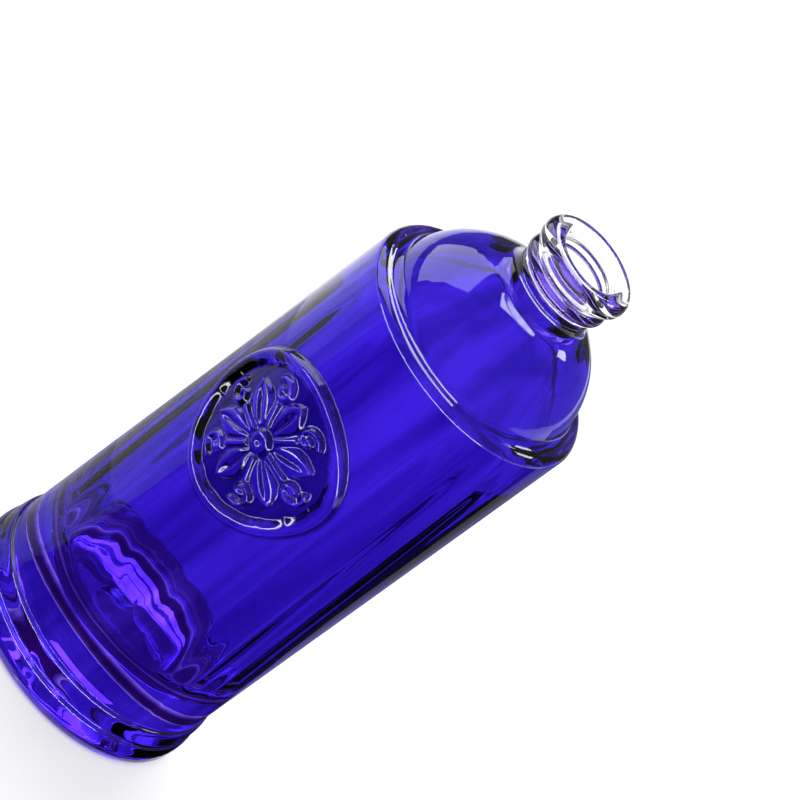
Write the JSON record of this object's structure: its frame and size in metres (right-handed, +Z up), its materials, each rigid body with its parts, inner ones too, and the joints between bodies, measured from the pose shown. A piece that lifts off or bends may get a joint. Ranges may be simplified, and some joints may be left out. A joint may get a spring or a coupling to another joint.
{
  "type": "aftershave bottle",
  "caption": "Hollow round glass bottle with a flared foot, domed shoulder, ringed open neck and applied seal, coated transparent blue, for a grooming lotion.",
  "frame": {"origin": "middle of the base, on the plane that the bearing ring stands on", "axes": "+Z up the bottle's axis to the mouth, -Y out of the applied seal"},
  "size_m": [0.049, 0.049, 0.1204],
  "materials": {
    "clear_glass": "clear polished flint glass",
    "blue_lacquer": "transparent cobalt blue gloss lacquer"
  },
  "bodies": {
    "root": {"glass_bottle": "clear_glass", "applied_seal": "clear_glass", "lacquer_coat": "blue_lacquer"}
  },
  "joints": []
}
